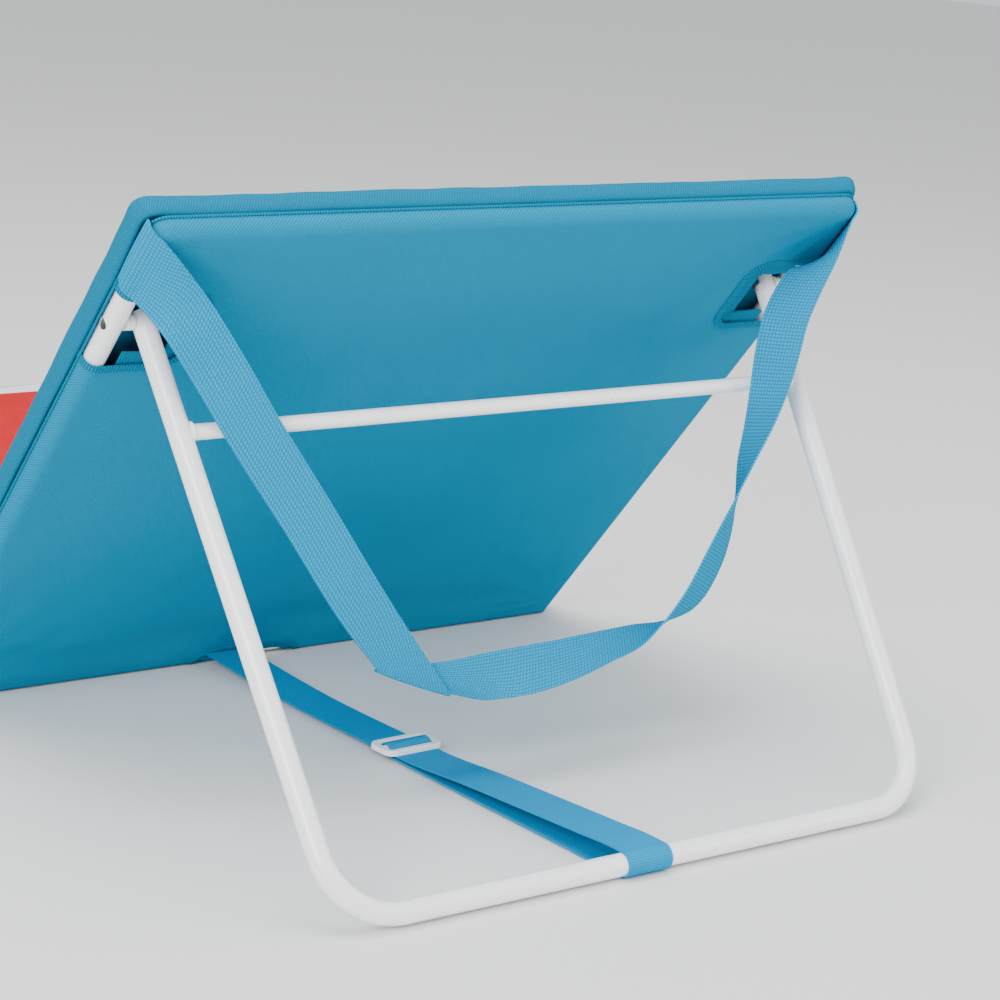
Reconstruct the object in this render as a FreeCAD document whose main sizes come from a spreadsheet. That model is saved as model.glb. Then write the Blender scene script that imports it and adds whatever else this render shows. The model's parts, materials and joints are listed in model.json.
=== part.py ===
"""Folding beach lounger: a padded mat in two panels with a padded backrest on a tubular frame.

Frame of the part: +Z up, X across the lounger, the sitter faces -Y, origin at the bottom centre.
The backrest and its stand are drawn in frames of their own, which are laid over the two slopes:
  panel frame  y runs up the backrest, z points to the sitter, origin on the bottom bar's axis
  stand frame  y runs down the legs, z points up and back, origin on the pivot's axis
"""
import FreeCAD, Part
import math
import os
import Sketcher
from FreeCAD import Placement, Rotation, Vector

doc = FreeCAD.newDocument("beach_lounger")
X_AXIS = Vector(1, 0, 0)
Y_AXIS = Vector(0, 1, 0)
Z_AXIS = Vector(0, 0, 1)

# ---------------------------------------------------------------- driving dimensions (mm, degrees)
DIMENSIONS = [
    ("base_y", 221.5, "from the origin back to the bottom bar's axis"),
    ("bar_height", 10, "height of the bottom bar's axis"),
    ("recline", 50, "slope of the backrest above the ground"),
    ("tube_radius", 8, "frame and stand tube, outside"),
    ("tube_wall", 1.2, "wall of that tube"),
    ("side_half", 298, "side tube axis from the middle"),
    ("frame_rise", 537, "bottom bar axis to top tube axis, up the panel"),
    ("frame_bend", 38, "bend of the frame's upper corners, on the axis"),
    ("plug_reach", 4, "side tube below the bottom bar's axis"),
    ("plug_cap", 1.8, "thickness of a tube plug's cap"),
    ("plug_stem", 8, "length of a tube plug inside its tube"),
    ("leg_cap", 1.6, "thickness of a leg cap"),
    ("leg_cap_stem", 1.2, "length of a leg cap inside its tube"),
    ("pivot_rise", 446, "bottom bar axis to pivot axis, up the panel"),
    ("leg_top_half", 275.5, "leg axis from the middle at the pivot"),
    ("leg_foot_half", 255, "leg axis from the middle at the ground bar"),
    ("leg_length", 421, "pivot axis to ground bar axis"),
    ("leg_bend", 50, "bend of the stand's corners, on the axis"),
    ("leg_over", 5, "leg tube above the pivot axis"),
    ("cross_drop", 82, "pivot axis to cross bar axis, down the leg"),
    ("cross_radius", 5.6, "cross bar, outside"),
    ("bead_ring", 6.2, "weld bead, ring radius"),
    ("bead_radius", 1.5, "weld bead, section radius"),
    ("rivet_radius", 3, "rivet shank"),
    ("rivet_play", 0.05, "radial play of the rivet in its holes"),
    ("rivet_head", 4.3, "rivet head inside the side tube"),
    ("rivet_dome", 5, "rivet dome inside the leg pair"),
    ("rivet_gap", 0.45, "gap between dome and leg"),
    ("access_hole", 4.6, "hole in the side tube's outer wall, radius"),
    ("spacer_radius", 6, "spacer between leg and side tube"),
    ("pad_half", 309, "half width of every padded panel"),
    ("pad_thickness", 12.5, "padded panel of the backrest"),
    ("mat_thickness", 13, "padded panel of the mat"),
    ("pad_gap", 10.2, "frame axis to the pad's back face"),
    ("pad_top", 548.5, "bottom bar axis to the pad's top edge"),
    ("pad_drop", 14, "pad below the bottom bar's axis"),
    ("pad_corner", 14, "rounding of a padded panel's corners"),
    ("cover", 1, "thickness of the printed cover"),
    ("cloth", 0.8, "thickness of the plain cloth"),
    ("binding", 2, "thickness of the edge binding"),
    ("layer_gap", 0.1, "air between stacked layers"),
    ("binding_set", 0.3, "edge binding short of the panel's back and front faces"),
    ("seat_length", 540, "seat panel, back to front"),
    ("foot_length", 415, "foot panel, back to front"),
    ("panel_gap", 1, "gap at a folding edge"),
    ("strip_reach", 12, "folding strip on each side of its gap"),
    ("strip_cloth", 0.7, "thickness of a folding strip"),
    ("rear_cloth", 1.1, "thickness of the rear panel"),
    ("rear_low", 7, "bottom bar axis to the rear panel's lower edge"),
    ("cutout_low", 402, "lower end of a pivot cut-out, up the panel"),
    ("cutout_high", 488, "upper end of a pivot cut-out, up the panel"),
    ("cutout_half", 262, "inner edge of a pivot cut-out from the middle"),
    ("arch_half", 51, "half width of the bottom cut-out"),
    ("arch_middle", 13, "middle of the bottom cut-out, towards +X"),
    ("arch_rise", 28, "top of the bottom cut-out, up the panel"),
    ("hem", 6, "width of a cut-out's hem"),
    ("hem_cloth", 0.8, "thickness of a cut-out's hem"),
    ("sleeve_radius", 10, "fabric sleeve round the bottom bar"),
    ("sleeve_half", 287, "outer end of a sleeve from the middle"),
    ("piping", 1.3, "piping section"),
    ("web_width", 38, "webbing width"),
    ("web", 1.2, "webbing thickness"),
    ("web_play", 0.1, "webbing off the bar that it goes round"),
    ("seam_half", 29.5, "half of the carry strap's sewn end, along the seam"),
    ("seam_left_rise", 517.5, "middle of that end up the panel, +X side"),
    ("seam_right_rise", 509, "middle of that end up the panel, -X side"),
    ("seam_side", 304, "that end from the middle"),
    ("foot_bar_height", 9.3, "height of the ground bar's axis"),
    ("stay_base_x", 36, "stay webbing at the bottom bar, from the middle"),
    ("stay_foot_x", 10.5, "stay webbing at the ground bar, from the middle"),
    ("slider_y", 262, "slider behind the bottom bar"),
    ("slider_width", 52, "slider across the webbing"),
    ("slider_length", 29, "slider along the webbing"),
    ("slider_height", 4, "slider thickness"),
    ("slider_rim", 5.5, "bars at the slider's ends and sides"),
    ("slider_slot", 6.5, "slot along the webbing"),
    ("slider_corner", 8, "rounding of the slider's corners"),
    ("slider_edge", 0.9, "rounding of the slider's edges"),
    ("slider_z", 5.6, "height of the slider's underside"),
]
dims = doc.addObject("Spreadsheet::Sheet", "dims")
for row, (alias, number, meaning) in enumerate(DIMENSIONS, start=1):
    dims.set("A%d" % row, alias)
    dims.set("B%d" % row, str(number))
    dims.set("C%d" % row, meaning)
    dims.setAlias("B%d" % row, alias)
doc.recompute()
size = {alias: float(dims.get(alias)) for alias, number, meaning in DIMENSIONS}

# ---------------------------------------------------------------- frames worked out from them
RECLINE = math.radians(size["recline"])
UP_PANEL = Vector(0, math.cos(RECLINE), math.sin(RECLINE))
TO_SITTER = Vector(0, -math.sin(RECLINE), math.cos(RECLINE))
BAR_AXIS = Vector(0, size["base_y"], size["bar_height"])
PIVOT_AXIS = BAR_AXIS + UP_PANEL * size["pivot_rise"]
LEG_SLOPE = math.asin((PIVOT_AXIS.z - size["foot_bar_height"]) / size["leg_length"])
DOWN_LEG = Vector(0, math.cos(LEG_SLOPE), -math.sin(LEG_SLOPE))
FOOT_AXIS = PIVOT_AXIS + DOWN_LEG * size["leg_length"]
PANEL = Placement(BAR_AXIS, Rotation(X_AXIS, size["recline"]))
STAND = Placement(PIVOT_AXIS, Rotation(X_AXIS, -math.degrees(LEG_SLOPE)))
PAD_FRONT = size["pad_gap"] + size["pad_thickness"]
FOLD_RUN = (size["mat_thickness"] - BAR_AXIS.z - PAD_FRONT * TO_SITTER.z) / UP_PANEL.z
FOLD_LINE = BAR_AXIS + TO_SITTER * PAD_FRONT + UP_PANEL * FOLD_RUN
SEAT_BACK = FOLD_LINE.y - size["panel_gap"]
SEAT_FRONT = SEAT_BACK - size["seat_length"]
FOOT_FRONT = SEAT_FRONT - size["panel_gap"] - size["foot_length"]
LEG_TOE = (size["leg_top_half"] - size["leg_foot_half"]) / size["leg_length"]
RIVET_HOLE = size["rivet_radius"] + size["rivet_play"]

nodes = []


def keep(thing, label, place=None):
    """Marks a finished sub-part: its label is the node's name."""
    thing.Label = label
    if place is not None:
        thing.Placement = place
    nodes.append(thing)
    return thing


def bind(thing, **formulas):
    """Binds properties to spreadsheet formulas, written with the cells' own names."""
    for name, formula in formulas.items():
        thing.setExpression(name, formula)
    return thing


# ---------------------------------------------------------------- sketch-based pieces
def plane_of(body, role):
    return [face for face in body.Origin.OriginFeatures if face.Role == role][0]


def sketch_on(body, name, role):
    sketch = body.newObject("Sketcher::SketchObject", name)
    sketch.AttachmentSupport = (plane_of(body, role), [""])
    sketch.MapMode = "FlatFace"
    return sketch


def closed_outline(sketch, points):
    """Adds straight edges through the points and ties their ends together."""
    count = len(points)
    for index in range(count):
        start = Vector(points[index][0], points[index][1], 0)
        end = Vector(points[(index + 1) % count][0], points[(index + 1) % count][1], 0)
        sketch.addGeometry(Part.LineSegment(start, end), False)
    first = sketch.GeometryCount - count
    for index in range(count):
        following = first + (index + 1) % count
        sketch.addConstraint(Sketcher.Constraint("Coincident", first + index, 2, following, 1))
    return first


def rectangle(sketch, width, length, start):
    """A rectangle centred on the sketch's y axis, from y = start; all three are formulas."""
    first = closed_outline(sketch, [(-50, 5), (50, 5), (50, 90), (-50, 90)])
    for edge, way in ((1, "Vertical"), (2, "Horizontal"), (3, "Vertical")):
        sketch.addConstraint(Sketcher.Constraint(way, first + edge))
    sketch.addConstraint(Sketcher.Constraint("Symmetric", first, 1, first, 2, -2))
    across = sketch.addConstraint(Sketcher.Constraint("DistanceX", first, 1, first, 2, 100))
    along = sketch.addConstraint(Sketcher.Constraint("DistanceY", first + 1, 1, first + 1, 2, 85))
    offset = sketch.addConstraint(Sketcher.Constraint("DistanceY", -1, 1, first, 1, 5))
    sketch.setExpression("Constraints[%d]" % across, width)
    sketch.setExpression("Constraints[%d]" % along, length)
    sketch.setExpression("Constraints[%d]" % offset, start)


def upright_edges(shape):
    """Names of the straight edges along the shape's own z."""
    names = []
    for index, edge in enumerate(shape.Edges, start=1):
        if len(edge.Vertexes) == 2:
            step = edge.Vertexes[1].Point - edge.Vertexes[0].Point
            if abs(step.x) + abs(step.y) < 0.001 < abs(step.z):
                names.append("Edge%d" % index)
    return names


def slab(label, width, length, height, corner, place, hole_inset=None):
    """A flat layer with rounded corners, or a frame of it when hole_inset is given."""
    body = doc.addObject("PartDesign::Body", label)
    outline = sketch_on(body, label + "_outline", "XY_Plane")
    rectangle(outline, width, length, "0 mm")
    pad = body.newObject("PartDesign::Pad", label + "_pad")
    pad.Profile = outline
    pad.setExpression("Length", height)
    doc.recompute()
    rounding = body.newObject("PartDesign::Fillet", label + "_corners")
    rounding.Base = (pad, upright_edges(pad.Shape))
    rounding.setExpression("Radius", corner)
    doc.recompute()
    if hole_inset:
        inside = sketch_on(body, label + "_inside", "XY_Plane")
        inner_width = "(%s) - 2 * (%s)" % (width, hole_inset)
        inner_length = "(%s) - 2 * (%s)" % (length, hole_inset)
        rectangle(inside, inner_width, inner_length, hole_inset)
        pocket = body.newObject("PartDesign::Pocket", label + "_hole")
        pocket.Profile = inside
        pocket.Type = "ThroughAll"
        pocket.Reversed = True
        pocket.Midplane = True
        before = rounding.Shape.Volume
        doc.recompute()
        if pocket.Shape.Volume >= before - 1:
            raise RuntimeError(label + ": the pocket cut nothing")
    return keep(body, label, place)


def padded_panel(prefix, length, thickness, place):
    """The four layers of one padded panel; its back face lies on the placement's plane."""
    inner = "2 * dims.pad_half - 2 * dims.binding - 2 * dims.layer_gap"
    inner_length = "(%s) - 2 * dims.binding - 2 * dims.layer_gap" % length
    inset = size["binding"] + size["layer_gap"]
    foam_base = size["cloth"] + size["layer_gap"]
    cover_base = float(thickness_of(thickness) - size["cover"])
    foam = "%s - dims.cover - dims.cloth - 2 * dims.layer_gap" % thickness
    corner = "dims.pad_corner - dims.binding"

    def lifted(height):
        return place.multiply(Placement(Vector(0, inset, height), Rotation()))

    slab(prefix + "_back_cloth", inner, inner_length, "dims.cloth", corner, lifted(0))
    slab(prefix + "_foam", inner, inner_length, foam, corner, lifted(foam_base))
    slab(prefix + "_printed_cover", inner, inner_length, "dims.cover", corner, lifted(cover_base))
    edge = place.multiply(Placement(Vector(0, 0, size["binding_set"]), Rotation()))
    slab(prefix + "_edge_binding", "2 * dims.pad_half", length,
         "%s - 2 * dims.binding_set" % thickness, "dims.pad_corner", edge,
         hole_inset="dims.binding")


def thickness_of(formula):
    return size[formula.replace("dims.", "")]


def turned(label, outline, place):
    """A piece turned about its own x axis; outline holds (x, radius) points."""
    body = doc.addObject("PartDesign::Body", label)
    profile = sketch_on(body, label + "_profile", "XY_Plane")
    closed_outline(profile, outline)
    turn = body.newObject("PartDesign::Revolution", label + "_turn")
    turn.Profile = profile
    turn.ReferenceAxis = (profile, ["H_Axis"])
    turn.Angle = 360
    body.Placement = place
    return body


# ---------------------------------------------------------------- pieces from solids
def cylinder(name, start, end, radius):
    """A round bar between two points; radius is a formula."""
    rod = doc.addObject("Part::Cylinder", name)
    rod.Height = (end - start).Length
    rod.setExpression("Radius", radius)
    rod.Placement = Placement(start, Rotation(Z_AXIS, end - start))
    return rod


def bend_arc(name, corner, before, after, ring, radius):
    """The quarter-like arc of a bent tube at a corner, in the xy plane."""
    toward = (before - corner).normalize()
    onward = (after - corner).normalize()
    half = toward.getAngle(onward) / 2
    centre = corner + (toward + onward).normalize() * (ring / math.sin(half))
    start = corner + toward * (ring / math.tan(half))
    end = corner + onward * (ring / math.tan(half))
    first = math.degrees(math.atan2(start.y - centre.y, start.x - centre.x))
    last = math.degrees(math.atan2(end.y - centre.y, end.x - centre.x))
    sweep = (last - first) % 360
    if sweep > 180:
        first, sweep = last, 360 - sweep
    arc = doc.addObject("Part::Torus", name)
    arc.Radius1 = ring
    arc.setExpression("Radius2", radius)
    arc.Angle3 = sweep
    arc.Placement = Placement(centre, Rotation(Z_AXIS, first))
    return arc, start, end


def bent_rod(name, points, ring, radius):
    """A solid rod that follows straight runs and bends in the xy plane."""
    pieces = []
    start = points[0]
    for index in range(1, len(points) - 1):
        arc, arc_start, arc_end = bend_arc("%s_bend%d" % (name, index), points[index],
                                           points[index - 1], points[index + 1], ring, radius)
        pieces.append(cylinder("%s_run%d" % (name, index), start, arc_start, radius))
        pieces.append(arc)
        start = arc_end
    pieces.append(cylinder("%s_run%d" % (name, len(points) - 1), start, points[-1], radius))
    rod = doc.addObject("Part::MultiFuse", name)
    rod.Shapes = pieces
    return rod


def joined(name, kind, base, tool):
    result = doc.addObject(kind, name)
    result.Base = base
    result.Tool = tool
    return result


def grouped(name, things):
    group = doc.addObject("Part::Compound", name)
    group.Links = things
    return group


def mirrored(name, thing):
    """The same piece on the other side of the part."""
    other = doc.addObject("Part::Mirroring", name)
    other.Source = thing
    other.Normal = X_AXIS
    other.Base = Vector(0, 0, 0)
    return other


def bent_tube(name, points, ring, holes):
    """A hollow bent tube with cross holes: (start, end, radius formula) each."""
    outside = bent_rod(name + "_outside", points, ring, "dims.tube_radius")
    inside = bent_rod(name + "_bore", points, ring, "dims.tube_radius - dims.tube_wall")
    drills = [inside]
    for index, (start, end, radius) in enumerate(holes, start=1):
        drills.append(cylinder("%s_drill%d" % (name, index), start, end, radius))
    cutter = doc.addObject("Part::MultiFuse", name + "_cutter")
    cutter.Shapes = drills
    return joined(name, "Part::Cut", outside, cutter)


def box(name, low, high):
    """A box between two corners, in the frame that its result is later laid over."""
    block = doc.addObject("Part::Box", name)
    block.Length = high.x - low.x
    block.Width = high.y - low.y
    block.Height = high.z - low.z
    block.Placement = Placement(low, Rotation())
    return block


# ---------------------------------------------------------------- mat
def mat_panels():
    """Seat and foot panels, flat on the ground, with the strips that they fold on."""
    half_turn = Rotation(Z_AXIS, 180)
    seat_place = Placement(Vector(0, SEAT_BACK, 0), half_turn)
    foot_place = Placement(Vector(0, SEAT_FRONT - size["panel_gap"], 0), half_turn)
    padded_panel("seat", "dims.seat_length", "dims.mat_thickness", seat_place)
    padded_panel("foot", "dims.foot_length", "dims.mat_thickness", foot_place)
    top = size["mat_thickness"] + size["layer_gap"]
    reach = size["strip_reach"]
    half = size["pad_half"] - size["binding"]
    fold_strip = box("mat_fold", Vector(-half, SEAT_FRONT - size["panel_gap"] - reach, top),
                     Vector(half, SEAT_FRONT + reach, top + size["strip_cloth"]))
    bind(fold_strip, Length="2 * (dims.pad_half - dims.binding)", Height="dims.strip_cloth")
    keep(fold_strip, "mat_fold_strip")
    seat_leaf = box("hinge_seat_leaf", Vector(-half, FOLD_LINE.y - reach, top),
                    Vector(half, FOLD_LINE.y, top + size["strip_cloth"]))
    back_leaf = box("hinge_back_leaf", Vector(-half, 0, size["layer_gap"]),
                    Vector(half, reach, size["layer_gap"] + size["strip_cloth"]))
    back_leaf.Placement = Placement(FOLD_LINE, Rotation(X_AXIS, size["recline"])).multiply(
        back_leaf.Placement)
    for leaf in (seat_leaf, back_leaf):
        bind(leaf, Length="2 * (dims.pad_half - dims.binding)", Height="dims.strip_cloth")
    keep(joined("hinge_leaves", "Part::Fuse", seat_leaf, back_leaf), "backrest_hinge_strip")


# ---------------------------------------------------------------- backrest
def backrest_frame():
    """The inverted U tube, its bottom bar and the plugs in its lower ends."""
    side = size["side_half"]
    reach = size["tube_radius"] + 1
    points = [Vector(side, -size["plug_reach"], 0), Vector(side, size["frame_rise"], 0),
              Vector(-side, size["frame_rise"], 0), Vector(-side, -size["plug_reach"], 0)]
    holes = []
    for sign in (-1, 1):
        middle = Vector(sign * side, size["pivot_rise"], 0)
        outward = Vector(sign * reach, 0, 0)
        holes.append((middle, middle - outward, "dims.rivet_radius + dims.rivet_play"))
        holes.append((middle, middle + outward, "dims.access_hole"))
    keep(bent_tube("frame", points, size["frame_bend"], holes), "backrest_frame_tube", PANEL)

    inner_end = side - size["tube_radius"]
    saddle = cylinder("bar_saddle", Vector(side, -60, 0), Vector(side, 60, 0),
                      "dims.tube_radius + 0.02")
    saddles = grouped("bar_saddles", [saddle, mirrored("bar_saddle_other", saddle)])
    bar_reach = Vector(inner_end + 3, 0, 0)
    bar = joined("bar", "Part::Cut",
                 cylinder("bar_outside", -bar_reach, bar_reach, "dims.tube_radius"),
                 cylinder("bar_bore", -bar_reach * 1.01, bar_reach * 1.01,
                          "dims.tube_radius - dims.tube_wall"))
    keep(joined("bottom_bar", "Part::Cut", bar, saddles), "backrest_bottom_bar", PANEL)

    plug = tube_plug("side_plug", size["plug_reach"], size["plug_cap"], size["plug_stem"])
    plug.Placement = Placement(Vector(side, 0, 0), Rotation(Z_AXIS, -90))
    pair = grouped("side_plugs", [plug, mirrored("side_plug_other", plug)])
    keep(pair, "frame_tube_plugs", PANEL)


def tube_plug(name, seat, cap, stem):
    """A plug for a tube's open end: x runs out of the tube, its cap rests on the end."""
    bore = size["tube_radius"] - size["tube_wall"] - 0.05
    rim = size["tube_radius"]
    outline = [(seat - stem, 0), (seat - stem, bore - 0.6), (seat - stem + 0.6, bore), (seat, bore),
               (seat, rim), (seat + cap * 0.4, rim), (seat + cap, rim * 0.72), (seat + cap, 0)]
    return turned(name, outline, Placement())


def pivots():
    """Rivets that the stand turns on, and the spacers that hold the legs off the side tubes."""
    tube = size["side_half"] - size["tube_radius"]
    leg_out = size["leg_top_half"] + size["tube_radius"]
    leg_in = size["leg_top_half"] - size["tube_radius"]
    chord = math.sqrt((size["tube_radius"] - size["tube_wall"]) ** 2 - size["rivet_head"] ** 2)
    head = size["side_half"] - chord + 0.1
    shank = size["rivet_radius"]
    dome = size["rivet_dome"]
    cup = leg_in - size["rivet_gap"]
    rim = size["rivet_head"]
    outline = [(cup - 2.2, 0), (cup - 1.8, dome * 0.52), (cup - 0.8, dome * 0.88), (cup - 0.2, dome),
               (cup, dome), (cup, shank), (head, shank), (head, rim), (head + 1.0, rim),
               (head + 1.6, rim * 0.8), (head + 1.6, 0)]
    place = Placement(Vector(0, size["pivot_rise"], 0), Rotation())
    rivet = turned("rivet", outline, place)
    keep(grouped("rivets", [rivet, mirrored("rivet_other", rivet)]), "pivot_rivets", PANEL)
    centre = Vector(0, size["pivot_rise"], 0)
    start = centre + X_AXIS * (leg_out + 0.35)
    end = centre + X_AXIS * (tube - 0.1)
    spacer = joined("spacer", "Part::Cut",
                    cylinder("spacer_outside", start, end, "dims.spacer_radius"),
                    cylinder("spacer_bore", start - X_AXIS, end + X_AXIS,
                             "dims.rivet_radius + dims.rivet_play"))
    keep(grouped("spacers", [spacer, mirrored("spacer_other", spacer)]), "pivot_spacers", PANEL)


def backrest_pad():
    low = Vector(0, -size["pad_drop"], size["pad_gap"])
    place = PANEL.multiply(Placement(low, Rotation()))
    padded_panel("backrest", "(dims.pad_top + dims.pad_drop)", "dims.pad_thickness", place)


def rear_cover():
    """The plain cloth behind the frame, its hems and piping, and the bottom bar's sleeves."""
    wall = size["rear_cloth"]
    side = size["side_half"] + size["tube_radius"] + 0.2
    top = size["frame_rise"] + size["tube_radius"] + 0.2
    back = -size["tube_radius"] - 0.1
    front = size["pad_gap"] - 0.1
    low = size["rear_low"]
    shell = joined("rear_shell", "Part::Cut",
                   box("rear_outside", Vector(-side - wall, low, back - wall),
                       Vector(side + wall, top + wall, front)),
                   box("rear_inside", Vector(-side, low - 5, back), Vector(side, top, front + 5)))
    opening = box("pivot_cutout", Vector(size["cutout_half"], size["cutout_low"], back - 3),
                  Vector(side + 4, size["cutout_high"], size["tube_radius"]))
    arch_low = size["arch_middle"] - size["arch_half"]
    arch_high = size["arch_middle"] + size["arch_half"]
    arch = box("arch_cutout", Vector(arch_low, low - 5, back - 3),
               Vector(arch_high, size["arch_rise"], front + 1))
    openings = grouped("rear_cutouts", [opening, mirrored("pivot_cutout_other", opening), arch])
    keep(joined("rear", "Part::Cut", shell, openings), "backrest_rear_panel", PANEL)

    hem = size["hem"]
    outer = back - wall - 0.1
    hem_block = box("hem_outside", Vector(size["cutout_half"] - hem, size["cutout_low"] - hem,
                                          outer - size["hem_cloth"]),
                    Vector(side, size["cutout_high"] + hem, outer))
    hem_gap = box("hem_inside", Vector(size["cutout_half"], size["cutout_low"], outer - 3),
                  Vector(side + 3, size["cutout_high"], outer + 3))
    hem_ring = joined("hem_ring", "Part::Cut", hem_block, hem_gap)
    keep(grouped("hems", [hem_ring, mirrored("hem_ring_other", hem_ring)]), "pivot_cutout_hems",
         PANEL)
    arch_hem = joined("arch_hem", "Part::Cut",
                      box("arch_hem_outside", Vector(arch_low - hem, low, outer - size["hem_cloth"]),
                          Vector(arch_high + hem, size["arch_rise"] + hem, outer)),
                      box("arch_hem_inside", Vector(arch_low, low - 3, outer - 3),
                          Vector(arch_high, size["arch_rise"], outer + 3)))
    keep(arch_hem, "bottom_cutout_hem", PANEL)

    cord = size["piping"]
    inner_side = side + wall + 0.1
    inner_top = top + wall + 0.1
    lane = Vector(inner_side + cord, inner_top + cord, front)
    piping = joined("piping_ring", "Part::Cut",
                    box("piping_outside", Vector(-lane.x, low, front - cord), lane),
                    box("piping_inside", Vector(-inner_side, low - 3, front - cord - 1),
                        Vector(inner_side, inner_top, front + 1)))
    keep(piping, "rear_seam_piping", PANEL)

    sleeves = []
    for side, sign, inner in (("left", 1, arch_high - 1), ("right", -1, 1 - arch_low)):
        start = X_AXIS * (sign * inner)
        end = X_AXIS * (sign * size["sleeve_half"])
        outside = cylinder("sleeve_outside_" + side, start, end, "dims.sleeve_radius")
        bore = cylinder("sleeve_bore_" + side, start - X_AXIS * sign, end + X_AXIS * sign,
                        "dims.tube_radius + 0.1")
        sleeves.append(joined("sleeve_" + side, "Part::Cut", outside, bore))
    keep(grouped("sleeves", sleeves), "bottom_bar_sleeves", PANEL)


# ---------------------------------------------------------------- stand
def leg_axis_x(down):
    """The leg axis's distance from the middle, at a distance down from the pivot."""
    return size["leg_top_half"] - LEG_TOE * down


def stand():
    over = -size["leg_over"]
    points = [Vector(leg_axis_x(over), over, 0), Vector(size["leg_foot_half"], size["leg_length"], 0),
              Vector(-size["leg_foot_half"], size["leg_length"], 0), Vector(-leg_axis_x(over), over, 0)]
    reach = X_AXIS * (size["tube_radius"] + 2)
    holes = []
    for sign in (-1, 1):
        middle = X_AXIS * (sign * size["leg_top_half"])
        holes.append((middle - reach, middle + reach, "dims.rivet_radius + dims.rivet_play"))
    keep(bent_tube("stand", points, size["leg_bend"], holes), "stand_tube", STAND)

    down = Y_AXIS * size["cross_drop"]
    end = X_AXIS * leg_axis_x(size["cross_drop"])
    rod = cylinder("cross_rod", down - end, down + end, "dims.cross_radius")
    saddle = cylinder("cross_saddle", Vector(leg_axis_x(0), 0, 0),
                      Vector(leg_axis_x(200), 200, 0), "dims.tube_radius + 0.02")
    saddles = grouped("cross_saddles", [saddle, mirrored("cross_saddle_other", saddle)])
    keep(joined("cross", "Part::Cut", rod, saddles), "stand_cross_bar", STAND)

    bead = doc.addObject("Part::Torus", "bead")
    bind(bead, Radius1="dims.bead_ring", Radius2="dims.bead_radius")
    face = leg_axis_x(size["cross_drop"]) - size["tube_radius"] + 0.3
    bead.Placement = Placement(down + X_AXIS * face, Rotation(Y_AXIS, 90))
    keep(grouped("beads", [bead, mirrored("bead_other", bead)]), "cross_bar_welds", STAND)

    cap = tube_plug("leg_cap", size["leg_over"], size["leg_cap"], size["leg_cap_stem"])
    cap.Placement = Placement(Vector(leg_axis_x(0), 0, 0), Rotation(X_AXIS, Vector(LEG_TOE, -1, 0)))
    keep(grouped("leg_caps", [cap, mirrored("leg_cap_other", cap)]), "stand_leg_caps", STAND)


# ---------------------------------------------------------------- webbing
def webbing(label, stations):
    """A flat band through stations of (centre, half width as a vector, direction out of it)."""
    rings = []
    for centre, wide, out in stations:
        face = Vector(out).normalize() * (size["web"] / 2)
        corners = [centre - wide - face, centre + wide - face, centre + wide + face,
                   centre - wide + face]
        rings.append(Part.makePolygon(corners + corners[:1]))
    feature = doc.addObject("Part::Feature", label + "_band")
    feature.Shape = Part.makeLoft(rings, True, True)
    return keep(feature, label, Placement())


def smooth(points, steps):
    """Points along a curve through the given ones, with the same number of steps in each span."""
    padded = [points[0] * 2 - points[1]] + points + [points[-1] * 2 - points[-2]]
    curve = []
    for index in range(1, len(padded) - 2):
        a, b, c, d = padded[index - 1:index + 3]
        for step in range(steps):
            s = step / steps
            curve.append((b * 2 + (c - a) * s + (a * 2 - b * 5 + c * 4 - d) * s * s
                          + (b * 3 - a - c * 3 + d) * s * s * s) * 0.5)
    curve.append(points[-1])
    return curve


# Carry strap between its sewn ends: place (y from the bottom bar) and direction across the webbing.
CARRY_ROUTE = [
    ((268, 345, 352), (-0.82, 0.02, 0.57)),
    ((221, 346, 290), (-0.81, 0.08, 0.58)),
    ((173, 347, 226), (-0.79, 0.20, 0.56)),
    ((124, 349, 158), (-0.68, 0.62, 0.40)),
    ((88, 351, 108), (-0.40, 0.90, 0.08)),
    ((52, 352, 84), (-0.12, 0.95, -0.28)),
    ((5, 352, 80), (0.02, 0.90, -0.43)),
    ((-52, 351, 91), (0.05, 0.88, -0.47)),
    ((-110, 350, 112), (0.12, 0.92, -0.36)),
    ((-160, 349, 136), (0.25, 0.94, -0.20)),
    ((-192, 348, 168), (0.45, 0.88, 0.00)),
    ((-208, 347, 208), (0.72, 0.68, 0.12)),
    ((-223, 347, 248), (0.92, 0.34, 0.18)),
    ((-238, 346, 294), (0.96, 0.10, 0.24)),
    ((-256, 345, 350), (0.95, 0.03, 0.30)),
]


def sewn_end(sign, rise):
    """Where the carry strap meets the rear panel's side seam."""
    off = -size["tube_radius"] - size["rear_cloth"] - 1.2
    return PANEL.multVec(Vector(sign * size["seam_side"], rise, off))


def carry_strap():
    shift = Vector(0, size["base_y"], 0)
    half = size["web_width"] / 2
    centres = smooth([Vector(*centre) + shift for centre, across in CARRY_ROUTE], 3)
    wides = smooth([Vector(*across) for centre, across in CARRY_ROUTE], 3)
    stations = []
    for index, centre in enumerate(centres):
        ahead = centres[min(index + 1, len(centres) - 1)]
        behind = centres[max(index - 1, 0)]
        along = (ahead - behind).normalize()
        across = (wides[index] - along * wides[index].dot(along)).normalize()
        stations.append((centre, across * half, along.cross(across)))
    left = sewn_end(1, size["seam_left_rise"])
    right = sewn_end(-1, size["seam_right_rise"])
    seam = UP_PANEL * size["seam_half"]
    stations.insert(0, (left, seam, (centres[0] - left).cross(seam)))
    stations.append((right, seam, (right - centres[-1]).cross(seam)))
    centres = [station[0] for station in stations]
    webbing("carry_strap", stations)
    length = sum((b - a).Length for a, b in zip(centres, centres[1:]))
    print("carry strap length %.0f mm" % length)


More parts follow.
